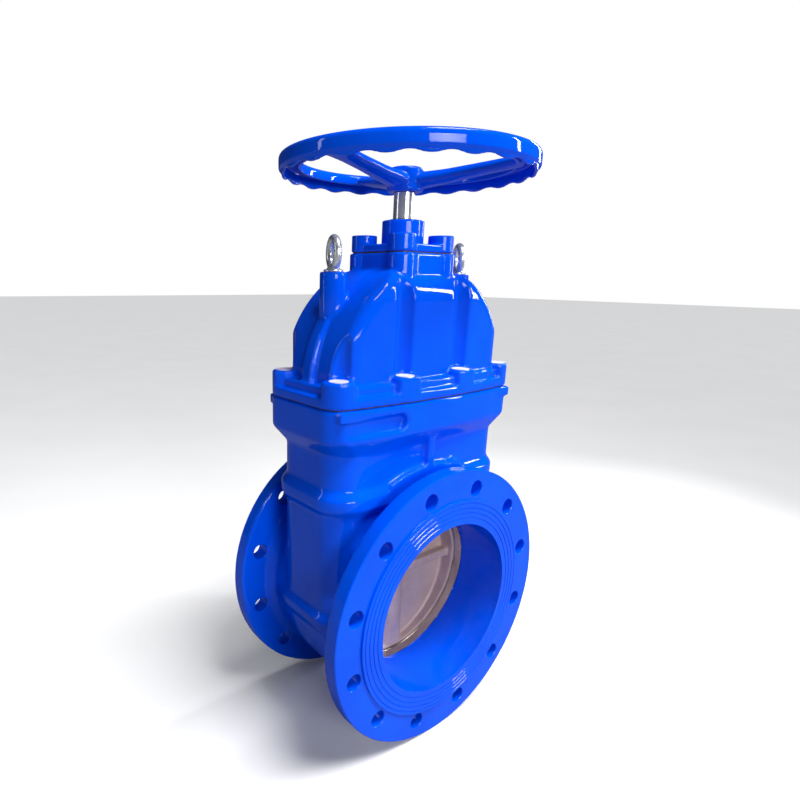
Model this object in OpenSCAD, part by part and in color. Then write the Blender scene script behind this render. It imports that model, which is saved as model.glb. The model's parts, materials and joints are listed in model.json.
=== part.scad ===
// Flanged gate valve, DN 250, short face-to-face length, non-rising stem, metal seats.
// The pipe axis runs along Y, the stem along Z, and z = 0 is the lowest line of the flanges.

/* [Pipe ends] */
// Outer diameter of each pipe flange
flange_d = 404; // [396:1:406]
// Thickness of each pipe flange, raised face included
flange_t = 26; // [24:1:28]
// Face-to-face length along the pipe
face_to_face = 250; // [246:1:256]
// Bore of the pipe ends
bore_d = 250; // [248:1:250]
// Bolt circle of each flange
bolt_circle_d = 350; // [348:1:354]
// Number of flange bolt holes
bolt_holes = 12; // [8:4:16]
// Diameter of each flange bolt hole
bolt_hole_d = 23; // [20:1:26]
// Diameter of the raised face
raised_d = 320; // [310:1:322]
// Height of the raised face
raised_h = 3; // [2:0.5:4]
// Number of gasket grooves in each raised face
groove_count = 4; // [2:1:5]

/* [Body] */
// Width of the body's head, across the pipe
head_w = 346; // [344:1:350]
// Depth of the head at its middle, along the pipe
head_d = 170; // [168:1:172]
// Swell of the head's long sides at the middle
head_swell = 9; // [7:1:11]
// Corner radius of the head
head_r = 28; // [26:1:32]
// Width of the neck and shell
shell_w = 318; // [316:1:320]
// Depth of the neck and shell
shell_d = 138; // [136:1:140]
// Corner radius of the neck and shell
shell_r = 38; // [34:1:40]
// Wall thickness of the castings
wall = 12; // [11:1:13]
// How far the belts stand out of the shell
belt_out = 8; // [6:1:10]
// Thickness of the middle rib below the head
rib_t = 14; // [10:1:18]

/* [Bonnet] */
// Width of the bonnet's dome
dome_w = 304; // [303:1:306]
// Depth of the dome
dome_d = 132; // [130:1:134]
// Radius of the dome's arch, seen along the pipe
dome_r = 153; // [152.5:0.5:155]
// Corner radius of the dome, seen from above
dome_corner = 32; // [30:1:34]
// Rounding of the arch's edges
arch_edge = 14; // [13:1:16]
// Rounding of the dome's long top edges
shoulder_r = 36; // [34:1:38]
// Radius of the flutes that give a socket key room above each bonnet screw
flute_r = 16; // [15:0.5:17]
// Thickness of the bonnet's lip
lip_t = 12; // [10:1:14]
// Radius of the round lobes of the gland pad
lobe_r = 17; // [16:1:18]
// Radius of the eyebolt bosses
eye_boss_r = 17; // [16:1:18]

/* [Bolts] */
// Diameter of the bonnet screws
bonnet_screw_d = 14; // [12:1:16]
// Diameter of the pockets over the bonnet screws
bonnet_pocket_d = 24; // [22:1:25]
// Diameter of the gland screws
gland_screw_d = 10; // [8:1:10]
// Diameter of the pockets over the gland screws
gland_pocket_d = 17; // [17:1:18]

/* [Gate and stem] */
// Lift of the wedge from shut to open
lift = 262; // [258:1:262]
// Angle of each seat from upright, in degrees
seat_angle = 5; // [4:0.5:6]
// Distance from the middle to each seat, at the pipe axis
seat_y = 35; // [34:1:36]
// Outer diameter of the wedge
wedge_d = 272; // [270:1:272]
// Major diameter of the stem's thread
thread_d = 36; // [34:1:36]
// Diameter of the stem above its collar
stem_d = 28; // [26:1:28]
// Radial clearance of the running fits
run_gap = 0.06; // [0.02:0.01:0.1]

/* [Handwheel] */
// Outer diameter of the handwheel
wheel_d = 332; // [320:1:340]
// Number of waves around the rim's lower edge
wave_count = 22; // [18:1:26]
// Number of spokes
spoke_count = 3; // [3:1:4]
// Direction of the first spoke, in degrees
spoke_angle = 68; // [0:1:119]

/* [Hidden] */
$fn = 96;
blue = [0.02, 0.27, 0.85];
bronze = [0.70, 0.58, 0.52];
steel = [0.75, 0.76, 0.78];
black = [0.08, 0.08, 0.08];
wax = [0.72, 0.70, 0.86];
small = 0.01;

// heights from here on are above the pipe axis
axis_z = flange_d / 2;
end_y = face_to_face / 2;
shell_hw = shell_w / 2;
shell_hd = shell_d / 2;
neck_r = 150;                   // outer radius of the port necks
saddle_r = 200;                 // radius of the belt's arch over each port neck
// heights of each belt: its foot, the lower and upper edge of its face, and its top
BELT = [150, 160, 175, 186];
LOW_BELT = [-25, -10, 0, 8];
lug_z = 180;
lug_r = 19;
chamfer_low = 232;
chamfer_top = 253;
joint_z = 294;                  // top of the body's head
gasket_t = 1.5;
bonnet_z = joint_z + gasket_t;
lip_z = bonnet_z + lip_t;
web_z = 320;                    // top of the bonnet foot between its bolt bosses
boss_z = 328;                   // top of the bonnet's bolt bosses
arch_z = 315;                   // height of the dome arch's centre
rib_z = 309;                    // height of the end ribs' centre
rib_r = 160.5;
dome_top = 458;
pad_z = 479;                    // top of the gland pad
housing_z = pad_z + gasket_t;
housing_web = 490;
housing_lobe = 502;
housing_top = 521;
lobe_at = 36;
lobe_set = 4;                   // how far the pad's straight sides lie inside its lobes
housing_boss_r = 28;
eye_x = 118;
eye_boss_z = 454;
chamber_r = shell_hw - wall;
chamber_hd = shell_hd - wall;
rail_in = 128;                  // inner edge of the guide rails
rail_hw = 7.5;
rail_top = 352;
corner_bolt = [153, 58];
side_bolt = [54, 70.5];
screw_low = 284;                // lower end of the bonnet screws
BOLTS = [for (sx = [-1, 1], sy = [-1, 1], p = [corner_bolt, side_bolt]) [sx * p[0], sy * p[1]]];
LOBES = [for (sx = [-1, 1], sy = [-1, 1]) [sx * lobe_at, sy * lobe_at]];

// seats and wedge
ring_in = 122;
ring_out = 139;
ring_t = 12;
sleeve_r = 145;
facing_in = 121;
facing_out = 135;
facing_t = 5;
facing_gap = 0.05;
wedge_r = wedge_d / 2;
dish_r = 116;
dish_floor = 11;
tube_r = 27;
cross_rib_y = 25;
shoe_low = -44;                 // guide shoes on the wedge's sides
shoe_top = 74;
passage_r = 20.5;
nut_low = 125;
nut_high = 160;
nut_w = 44;
yoke_top = 168;

// stem and its seals
thread_low = 118;
thread_top = 442;
collar_low = 465;
collar_top = 475;
collar_r = 26.5;
washer_t = 3;
collar_bore_r = 28;
square_w = 19;
hub_low = 556;
square_top = 577;
hub_top = 586;
bush_low = 482;
bush_top = 514;
bush_r = 20;

// handwheel
wheel_r = wheel_d / 2;
band_low = 580;
band_top = 598;
skirt_low = 573;
skirt_rise = 3.4;               // how far each wave lifts the skirt
inner_low = 583;                // lower edge of the rim's inner wall
rim_wall = 4;
rim_in_r = 137;
wave_cut_r = 26;

module at_axis() translate([0, 0, axis_z]) children();

module along_pipe(y0, y1, r) translate([0, y0, 0]) rotate([-90, 0, 0]) cylinder(h = y1 - y0, r = r);

module rounded(w, d, r) {
    square([w - 2 * r, d], center = true);
    square([w, d - 2 * r], center = true);
    for (sx = [-1, 1], sy = [-1, 1]) translate([sx * (w / 2 - r), sy * (d / 2 - r)]) circle(r);
}

// rounded outline whose long sides swell out in one arc that starts just inside the corners
module swelled(w, d, r, swell) {
    c = w / 2 - r;
    reach = c - 3;
    arc_r = (reach * reach + swell * swell) / (2 * swell);
    rounded(w, d - 2 * swell, r);
    intersection() {
        square([2 * c, d], center = true);
        translate([0, arc_r - d / 2]) circle(arc_r, $fn = 360);
        translate([0, d / 2 - arc_r]) circle(arc_r, $fn = 360);
    }
}

// upright rounded box down to the pipe axis, and a round bottom of the same section
module bowl(hw, hd, r, top) {
    linear_extrude(top) rounded(2 * hw, 2 * hd, r);
    rotate([-90, 0, 0]) rotate_extrude($fn = 180) intersection() {
        rounded(2 * hw, 2 * hd, r);
        translate([0, -hd]) square([hw, 2 * hd]);
    }
}

// belt around the shell, level along its length and square to it
module belt(z) {
    hull() {
        translate([0, 0, z[0]]) linear_extrude(small) rounded(shell_w, shell_d, shell_r);
        translate([0, 0, z[1]]) linear_extrude(small) belt_outline();
    }
    translate([0, 0, z[1]]) linear_extrude(z[2] - z[1]) belt_outline();
    hull() {
        translate([0, 0, z[2] - small]) linear_extrude(small) belt_outline();
        translate([0, 0, z[3]]) linear_extrude(small) rounded(shell_w, shell_d, shell_r);
    }
}

module belt_outline() rounded(shell_w + 2 * belt_out, shell_d + 2 * belt_out, shell_r + belt_out);

// things done alike at both pipe ends
module both_ends() for (side = [0, 1]) mirror([0, side, 0]) children();

// frame of the seat at the inlet side: its plane is y = 0 and the port lies on -y
module at_seat(side) mirror([0, side, 0]) translate([0, -seat_y, 0]) rotate([seat_angle, 0, 0]) children();

module flange() {
    along_pipe(-end_y + raised_h, -end_y + flange_t, flange_d / 2, $fn = 180);
    along_pipe(-end_y, -end_y + flange_t, raised_d / 2, $fn = 180);
    translate([0, -end_y + flange_t, 0]) rotate([-90, 0, 0])
        cylinder(h = 12, r1 = neck_r + 12, r2 = neck_r);
    along_pipe(-end_y + flange_t, 0, neck_r);
}

module flange_cuts() {
    for (i = [0:bolt_holes - 1]) rotate([0, 180 / bolt_holes + i * 360 / bolt_holes, 0])
        translate([bolt_circle_d / 2, 0, 0])
            along_pipe(-end_y - 1, -end_y + flange_t + 14, bolt_hole_d / 2, $fn = 48);
    for (g = [0:groove_count - 1]) difference() {
        along_pipe(-end_y - 1, -end_y + 0.8, 134 + 7 * g + 0.8);
        along_pipe(-end_y - 2, -end_y + 2, 134 + 7 * g - 0.8);
    }
}

module head_recess() translate([-108, -head_d / 2 - 6, 270.5]) rotate([-90, 0, 0]) linear_extrude(17) {
    square([78, 23], center = true);
    translate([39, 0]) circle(11.5);
    translate([-39, 0]) circle(11.5);
}

module guide_rail(low, top, out) for (side = [0, 1]) mirror([side, 0, 0])
    translate([rail_in, -rail_hw, low]) cube([out - rail_in, 2 * rail_hw, top - low]);

module body() color(blue) at_axis() difference() {
    union() {
        bowl(shell_hw, shell_hd, shell_r, chamfer_top);
        belt(BELT);
        belt(LOW_BELT);
        hull() {
            translate([0, 0, chamfer_low]) linear_extrude(small) rounded(shell_w, shell_d, shell_r);
            translate([0, 0, chamfer_top]) linear_extrude(small)
                swelled(head_w, head_d, head_r, head_swell, $fn = 32);
        }
        translate([0, 0, chamfer_top]) linear_extrude(joint_z - chamfer_top)
            swelled(head_w, head_d, head_r, head_swell);
        both_ends() {
            flange();
            intersection() {
                along_pipe(-shell_hd - belt_out, 0, saddle_r);
                translate([-75, -100, BELT[0]]) cube([150, 100, 60]);
            }
            translate([48, 0, lug_z]) along_pipe(-shell_hd - belt_out - 3, 0, lug_r);
            translate([-rib_t / 2, -shell_hd - belt_out, BELT[2]]) cube([rib_t, 20, chamfer_top - BELT[2]]);
        }
    }
    difference() {
        bowl(chamber_r, chamber_hd, shell_r - wall + 2, joint_z + 1);
        both_ends() difference() {
            along_pipe(-shell_hd, 0, sleeve_r);
            at_seat(0) translate([-200, -1, -200]) cube([400, 100, 400]);
        }
        guide_rail(-60, joint_z, chamber_r + 2);
    }
    along_pipe(-end_y - 1, end_y + 1, bore_d / 2);
    both_ends() {
        flange_cuts();
        at_seat(0) along_pipe(-ring_t, 20, ring_out);
    }
    for (side = [0, 1]) rotate([0, 0, 180 * side]) head_recess();
    for (p = BOLTS) translate([p[0], p[1], screw_low]) cylinder(h = 60, d = bonnet_screw_d);
}

module seat_ring(side) color("silver") at_axis() at_seat(side) difference() {
    along_pipe(-ring_t, 0, ring_out);
    along_pipe(-ring_t - 1, 1, ring_in);
}

module bonnet_gasket() color(black) at_axis() translate([0, 0, joint_z]) difference() {
    linear_extrude(gasket_t) swelled(head_w - 8, head_d - 8, head_r - 4, head_swell);
    translate([0, 0, -1]) linear_extrude(4) rounded(2 * chamber_r, 2 * chamber_hd, shell_r - wall + 2);
    for (p = BOLTS) translate([p[0], p[1], -1]) cylinder(h = 4, d = bonnet_screw_d + 2);
}

// the dome's solid with a skin of the given thickness taken off it: an arch across the pipe,
// long shoulders along it and rounded corners, all from one outline each
module dome(skin, low) intersection() {
    translate([0, 0, low]) linear_extrude(200)
        rounded(dome_w - 2 * skin, dome_d - 2 * skin, dome_corner - skin);
    union() {
        translate([0, 0, arch_z]) rotate([-90, 0, 0]) rotate_extrude($fn = 180) intersection() {
            rounded(2 * (dome_r - skin), dome_d - 2 * skin, arch_edge - skin);
            translate([0, -dome_d]) square([dome_r, 2 * dome_d]);
        }
        translate([-dome_r, -dome_d / 2, low - 1]) cube([2 * dome_r, dome_d, arch_z - low + 1]);
    }
    rotate([90, 0, 90]) linear_extrude(2 * dome_r, center = true)
        translate([0, dome_top - skin - 200]) rounded(dome_d - 2 * skin, 400, shoulder_r - skin);
}

module lobed(r) {
    square(2 * lobe_at, center = true);
    square([2 * lobe_at, 2 * (lobe_at + r - lobe_set)], center = true);
    square([2 * (lobe_at + r - lobe_set), 2 * lobe_at], center = true);
    for (p = LOBES) translate(p) circle(r, $fn = 64);
}

module bonnet() color(blue) at_axis() difference() {
    union() {
        translate([0, 0, bonnet_z]) linear_extrude(lip_t) swelled(head_w, head_d, head_r, head_swell);
        translate([0, 0, lip_z]) linear_extrude(web_z - lip_z)
            swelled(head_w - 16, head_d - 16, head_r - 8, head_swell);
        for (p = BOLTS) intersection() {
            translate([p[0], p[1], bonnet_z]) cylinder(h = boss_z - bonnet_z, r = 21);
            translate([0, 0, bonnet_z]) linear_extrude(60) swelled(head_w, head_d, head_r, head_swell);
        }
        dome(0, bonnet_z);
        translate([0, 0, dome_top - 30]) linear_extrude(pad_z - dome_top + 30) lobed(lobe_r + 2);
        for (side = [0, 1]) mirror([side, 0, 0]) {
            translate([eye_x, 0, 400]) cylinder(h = eye_boss_z - 400, r = eye_boss_r);
            intersection() {
                translate([120, -10, lip_z]) cube([50, 20, 140]);
                translate([0, 0, rib_z]) along_pipe(-12, 12, rib_r);
            }
        }
    }
    difference() {
        dome(wall, bonnet_z - 1);
        guide_rail(bonnet_z, rail_top, dome_w / 2 - wall + 2);
    }
    for (p = BOLTS) {
        translate([p[0], p[1], bonnet_z - 1]) cylinder(h = 60, d = bonnet_screw_d + 1);
        translate([p[0], p[1], lip_z]) cylinder(h = 60, d = bonnet_pocket_d);
    }
    for (p = BOLTS) translate([p[0], p[1], boss_z]) cylinder(h = 160, r = flute_r);
    translate([0, 0, 430]) cylinder(h = 60, r = thread_d / 2 + 0.5);
    translate([0, 0, collar_low - washer_t]) cylinder(h = 40, r = collar_bore_r);
    for (p = LOBES) translate([p[0], p[1], 462]) cylinder(h = 30, d = gland_screw_d);
    for (side = [-1, 1]) translate([side * eye_x, 0, eye_boss_z - 20]) cylinder(h = 21, d = 10);
}

// socket screw, head down from z = 0 and shank below
module socket_screw(d, head_d, head_h, shank) {
    difference() {
        translate([0, 0, -head_h]) cylinder(h = head_h, d = head_d, $fn = 48);
        translate([0, 0, -head_h / 2]) cylinder(h = head_h, d = d * 0.95, $fn = 6);
    }
    translate([0, 0, -head_h - shank]) cylinder(h = shank + small, d = d, $fn = 48);
}

module bonnet_screws() color(steel) at_axis() for (p = BOLTS) translate([p[0], p[1], lip_z + 14])
    socket_screw(bonnet_screw_d, 21, 14, lip_z - screw_low);

module bonnet_screw_plugs() color(wax) at_axis() for (p = BOLTS) translate([p[0], p[1], lip_z + 14])
    cylinder(h = boss_z + 0.5 - lip_z - 14, d = bonnet_pocket_d, $fn = 48);

module gland_gasket() color(black) at_axis() translate([0, 0, pad_z]) difference() {
    linear_extrude(gasket_t) lobed(lobe_r - 2);
    translate([0, 0, -1]) cylinder(h = 4, r = collar_bore_r);
    for (p = LOBES) translate([p[0], p[1], -1]) cylinder(h = 4, d = gland_screw_d + 2);
}

module gland_housing() color(blue) at_axis() difference() {
    union() {
        translate([0, 0, housing_z]) linear_extrude(housing_web - housing_z) lobed(lobe_r);
        for (p = LOBES) translate([p[0], p[1], housing_z]) cylinder(h = housing_lobe - housing_z, r = lobe_r);
        translate([0, 0, collar_top + washer_t]) cylinder(h = housing_top - collar_top - washer_t,
            r = housing_boss_r - 0.1);
    }
    translate([0, 0, collar_top]) cylinder(h = 60, r = stem_d / 2 + 0.5);
    translate([0, 0, bush_low]) cylinder(h = 60, r = bush_r);
    for (p = LOBES) {
        translate([p[0], p[1], housing_z - 1]) cylinder(h = 40, d = gland_screw_d + 1);
        translate([p[0], p[1], 488]) cylinder(h = 40, d = gland_pocket_d);
    }
}

module gland_screws() color(steel) at_axis() for (p = LOBES) translate([p[0], p[1], 498])
    socket_screw(gland_screw_d, 16, 10, 26);

module gland_screw_plugs() color(wax) at_axis() for (p = LOBES) translate([p[0], p[1], 498])
    cylinder(h = housing_lobe + 0.5 - 498, d = gland_pocket_d, $fn = 48);

module ring(low, top, in_r, out_r) translate([0, 0, low]) difference() {
    cylinder(h = top - low, r = out_r);
    translate([0, 0, -1]) cylinder(h = top - low + 2, r = in_r);
}

module lower_thrust_washer() color("goldenrod") at_axis()
    ring(collar_low - washer_t, collar_low - run_gap, thread_d / 2 + 0.5, collar_bore_r - 0.3);

module upper_thrust_washer() color("goldenrod") at_axis()
    ring(collar_top + run_gap, collar_top + washer_t, stem_d / 2 + 0.5, collar_bore_r - 0.3);

module o_ring(z, r, section) translate([0, 0, z]) rotate_extrude() translate([r, 0]) circle(d = section, $fn = 24);

module stem_bush() color("ivory") at_axis() difference() {
    ring(bush_low, bush_top, stem_d / 2 + run_gap, bush_r);
    for (z = [490, 506]) ring(z - 2, z + 2, 0, stem_d / 2 + 3.2);
    for (z = [486, 498, 510]) ring(z - 1.6, z + 1.6, bush_r - 2.4, bush_r + 1);
}

module inner_stem_rings() color(black) at_axis() for (z = [490, 506])
    o_ring(z, stem_d / 2 + run_gap + 1.55, 3);

module outer_bush_rings() color(black) at_axis() for (z = [486, 498, 510])
    o_ring(z, bush_r - 1.25, 2.3);

module wiper_ring() color(black) at_axis() {
    ring(bush_top, housing_top, stem_d / 2 + 2.5, bush_r);
    ring(housing_top - 3, housing_top + 1.5, stem_d / 2 + run_gap, stem_d / 2 + 4);
}

module eyebolt(turn) rotate([0, 0, turn]) {
    translate([0, 0, 22]) rotate([90, 0, 0]) rotate_extrude() translate([17.5, 0]) circle(r = 5, $fn = 48);
    translate([0, 0, 1]) cylinder(h = 5, r1 = 8.5, r2 = 6.5);
    cylinder(h = 2.5, r = 12.5);
    translate([0, 0, -19]) cylinder(h = 20, d = 10);
}

module eyebolt_left() color("silver") at_axis() translate([-eye_x, 0, eye_boss_z]) eyebolt(68);

module eyebolt_right() color("silver") at_axis() translate([eye_x, 0, eye_boss_z]) eyebolt(55);

module stem() color("silver") at_axis() difference() {
    union() {
        translate([0, 0, thread_low]) cylinder(h = 4, r1 = thread_d / 2 - 3, r2 = thread_d / 2);
        translate([0, 0, thread_low + 4]) cylinder(h = collar_low - thread_low, d = thread_d);
        translate([0, 0, collar_low]) cylinder(h = collar_top - collar_low, r = collar_r);
        translate([0, 0, collar_top]) cylinder(h = hub_low - collar_top, d = stem_d);
        translate([-square_w / 2, -square_w / 2, hub_low]) cube([square_w, square_w, square_top - hub_low]);
    }
    translate([0, 0, square_top - 24]) cylinder(h = 30, d = 10, $fn = 48);
}

module spoke() hull() {
    translate([14, 0, 569]) cube([2, 32, 20], center = true);
    translate([80, 0, 579]) cube([2, 27, 16], center = true);
    translate([rim_in_r + 3, 0, 589.5]) cube([2, 36, 13], center = true);
}

module handwheel() color(blue) at_axis() difference() {
    union() {
        translate([0, 0, hub_low]) cylinder(h = hub_top - hub_low, r1 = 23.5, r2 = 22);
        for (i = [0:spoke_count - 1]) rotate([0, 0, spoke_angle + i * 360 / spoke_count]) spoke();
        rotate_extrude($fn = 180) polygon([
            [rim_in_r, inner_low], [rim_in_r, band_top - 5], [rim_in_r + 5, band_top], [wheel_r - 4, band_top],
            [wheel_r, band_top - 4], [wheel_r, band_low], [wheel_r - 3, band_low], [wheel_r - 3, skirt_low],
            [wheel_r - 3 - rim_wall, skirt_low], [wheel_r - 3 - rim_wall, band_top - 8],
            [rim_in_r + rim_wall, band_top - 8], [rim_in_r + rim_wall, inner_low]
        ]);
    }
    for (i = [0:wave_count - 1]) rotate([0, 0, 45.6 + i * 360 / wave_count])
        translate([wheel_r - 12, 0, skirt_low - wave_cut_r + skirt_rise]) rotate([0, 90, 0])
            cylinder(h = 20, r = wave_cut_r, $fn = 48);
    translate([-square_w / 2, -square_w / 2, hub_low - 1]) cube([square_w, square_w, 60]);
    translate([0, 0, hub_low - 1]) cylinder(h = 1.5, d = stem_d);
    translate([0, 0, square_top + 1]) cylinder(h = 10, r = 15);
}

module handwheel_washer() color("silver") at_axis() ring(square_top + 1, square_top + 4, 5.5, 14);

module handwheel_screw() color("silver") at_axis() {
    translate([0, 0, square_top + 4]) cylinder(h = 7, r = 9.2, $fn = 6);
    translate([0, 0, square_top - 20]) cylinder(h = 24 + small, d = 10, $fn = 48);
}

// space between the two seat planes, with a little taken off each side
module seat_wedge(off) intersection() {
    at_seat(0) translate([-200, off, -250]) cube([400, 400, 500]);
    at_seat(1) translate([-200, off, -250]) cube([400, 400, 500]);
}

// hollow in each face of the wedge, around the stem tube and the cross rib
module wedge_dish() difference() {
    along_pipe(-70, -dish_floor, dish_r);
    translate([0, 0, -wedge_r]) cylinder(h = 2 * wedge_r, r = tube_r);
    translate([-dish_r - 5, -cross_rib_y, 6]) cube([2 * dish_r + 10, cross_rib_y, 14]);
}

module wedge() color(bronze) at_axis() difference() {
    union() {
        difference() {
            intersection() {
                along_pipe(-60, 60, wedge_r);
                seat_wedge(1);
            }
            both_ends() wedge_dish();
        }
        for (side = [0, 1]) mirror([side, 0, 0]) translate([117, -20, shoe_low]) cube([22, 40, shoe_top - shoe_low]);
        translate([0, 0, 105]) cylinder(h = yoke_top - 105, r = 34);
    }
    both_ends() at_seat(0) difference() {
        along_pipe(-5, facing_t + facing_gap, facing_out);
        along_pipe(-6, facing_t + 1, facing_in);
    }
    for (side = [0, 1]) mirror([side, 0, 0])
        translate([rail_in - 2, -rail_hw - 1, -100]) cube([30, 2 * rail_hw + 2, 220]);
    translate([0, 0, -wedge_r - 5]) cylinder(h = yoke_top + wedge_r + 10, r = passage_r);
    translate([-nut_w / 2, -40, nut_low]) cube([nut_w, 80, nut_high - nut_low]);
}

module wedge_nut() color("goldenrod") at_axis() difference() {
    translate([-nut_w / 2, -nut_w / 2, nut_low]) cube([nut_w, nut_w, nut_high - nut_low]);
    translate([0, 0, nut_low - 1]) cylinder(h = nut_high - nut_low + 2, r = thread_d / 2 + run_gap);
}

module wedge_ring(side) color("silver") at_axis() at_seat(side) difference() {
    along_pipe(facing_gap, facing_t + facing_gap, facing_out);
    along_pipe(-1, facing_t + 1, facing_in);
}

body();
seat_ring(0);  // inlet_seat_ring
seat_ring(1);  // outlet_seat_ring
bonnet_gasket();
bonnet();
bonnet_screws();
bonnet_screw_plugs();
gland_gasket();
gland_housing();
gland_screws();
gland_screw_plugs();
lower_thrust_washer();
upper_thrust_washer();
stem_bush();
inner_stem_rings();
outer_bush_rings();
wiper_ring();
eyebolt_left();
eyebolt_right();
stem();
handwheel();
handwheel_washer();
handwheel_screw();
wedge();
wedge_nut();
wedge_ring(0);  // inlet_wedge_ring
wedge_ring(1);  // outlet_wedge_ring
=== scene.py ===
"""Flanged gate valve with a bolted bonnet and a handwheel: finished pieces, finishes and studio."""

import json
import logging
import math
import random
from dataclasses import dataclass
from enum import Enum
from typing import Callable

import bpy
from mathutils import Matrix, Vector

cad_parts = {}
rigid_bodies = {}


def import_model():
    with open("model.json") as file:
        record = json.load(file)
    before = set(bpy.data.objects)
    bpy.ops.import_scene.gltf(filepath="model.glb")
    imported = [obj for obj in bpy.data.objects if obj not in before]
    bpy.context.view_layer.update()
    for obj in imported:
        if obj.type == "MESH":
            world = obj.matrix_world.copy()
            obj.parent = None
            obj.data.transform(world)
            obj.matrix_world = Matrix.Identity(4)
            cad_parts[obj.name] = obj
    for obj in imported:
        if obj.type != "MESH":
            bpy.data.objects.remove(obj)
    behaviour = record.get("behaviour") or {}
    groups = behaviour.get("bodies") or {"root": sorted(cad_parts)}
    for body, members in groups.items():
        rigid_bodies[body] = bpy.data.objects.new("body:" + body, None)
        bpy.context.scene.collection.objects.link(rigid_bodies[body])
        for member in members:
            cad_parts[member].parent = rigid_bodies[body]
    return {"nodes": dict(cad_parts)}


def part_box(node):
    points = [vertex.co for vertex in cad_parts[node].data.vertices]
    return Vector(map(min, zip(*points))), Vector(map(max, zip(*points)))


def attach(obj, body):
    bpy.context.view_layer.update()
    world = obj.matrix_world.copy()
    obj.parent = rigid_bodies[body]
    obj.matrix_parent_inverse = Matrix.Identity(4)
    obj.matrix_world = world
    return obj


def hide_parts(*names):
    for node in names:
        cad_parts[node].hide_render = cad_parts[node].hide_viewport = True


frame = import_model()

log = logging.getLogger("gate_valve")

MM = 0.001
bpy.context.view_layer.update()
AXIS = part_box("body")[1].x / MM          # height of the pipe axis above the floor, in millimetres
MERGE = 1e-6                             # corners nearer than this become one, in metres
CENTRE = 0.01                            # radius of an outline's corner on its axis, in millimetres

Point = tuple[float, float]
Place = tuple[float, float, float]
Colour = tuple[float, float, float, float]


class Ride(Enum):
    """The bodies that pieces move with."""

    CASING = "valve_body"
    SPINDLE = "wheel_and_stem"
    GATE = "gate"


def at(x: float, y: float, z: float) -> Vector:
    """Gives a point in metres.

    Args:
        x: Millimetres across the pipe.
        y: Millimetres along the pipe.
        z: Millimetres above the pipe axis.

    Returns:
        The point in the shared frame.
    """
    return Vector((x, y, z + AXIS)) * MM


def quarters(places: tuple[Point, ...]) -> list[Point]:
    """Repeats places in the four quarters of the plan.

    Args:
        places: Places in the quarter where both values are positive.

    Returns:
        Four places for each.
    """
    return [(sx * x, sy * y) for x, y in places for sx in (-1, 1) for sy in (-1, 1)]


# ---------------------------------------------------------------- finishes


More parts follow.
